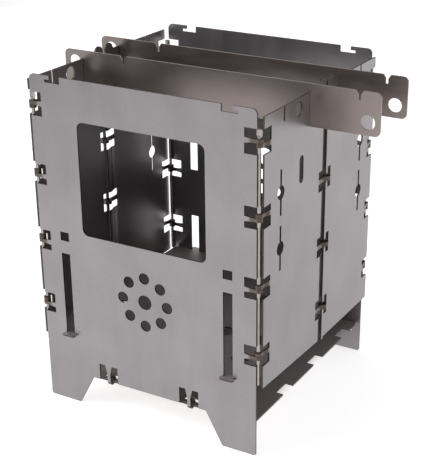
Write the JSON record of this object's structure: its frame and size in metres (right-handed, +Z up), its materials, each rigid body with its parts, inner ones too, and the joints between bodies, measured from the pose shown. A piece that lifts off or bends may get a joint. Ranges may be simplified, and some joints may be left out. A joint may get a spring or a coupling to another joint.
{
  "type": "twig stove",
  "caption": "Folding sheet-metal stove for twigs: box on legs with a fuel window, hinged corners and seams, base plate, fire grate and lift-out pot bars.",
  "frame": {"origin": "on the floor that the legs stand on, under the middle of the overall box, which is the pot bars' middle; the stove's body is centred at x = -14.7 mm", "axes": "+X to the right along the pot bars, towards their long ends; +Y from the front panel with the fuel window to the back panel; +Z up"},
  "size_m": [0.205, 0.1518, 0.206],
  "materials": {
    "titanium_sheet": "satin, bead-blasted titanium",
    "bar_sheet": "satin, darker titanium",
    "titanium_rod": "drawn titanium wire"
  },
  "bodies": {
    "stove": {"front_panel": "titanium_sheet", "back_panel": "titanium_sheet", "left_wall_front": "titanium_sheet", "left_wall_rear": "titanium_sheet", "right_wall_front": "titanium_sheet", "right_wall_rear": "titanium_sheet", "front_left_rod": "titanium_rod", "front_right_rod": "titanium_rod", "rear_left_rod": "titanium_rod", "rear_right_rod": "titanium_rod"},
    "base": {"base_plate": "titanium_sheet"},
    "grate": {"fire_grate": "titanium_sheet"},
    "front_bar": {"front_pot_bar": "bar_sheet"},
    "rear_bar": {"rear_pot_bar": "bar_sheet"}
  },
  "joints": [
    {"name": "front_bar_lift", "type": "slide", "parent": "stove", "child": "front_bar", "axis": [0, 0, 1], "range_m": [0, 0.03]},
    {"name": "rear_bar_lift", "type": "slide", "parent": "stove", "child": "rear_bar", "axis": [0, 0, 1], "range_m": [0, 0.03]},
    {"name": "grate_lift", "type": "slide", "parent": "stove", "child": "grate", "axis": [0, 0, 1], "range_m": [0, 0.0255]},
    {"name": "base_plate_swing", "type": "hinge", "parent": "stove", "child": "base", "pos_m": [-0.0147, -0.06951, 0.0203], "axis": [1, 0, 0], "range_deg": [0, 10]}
  ]
}
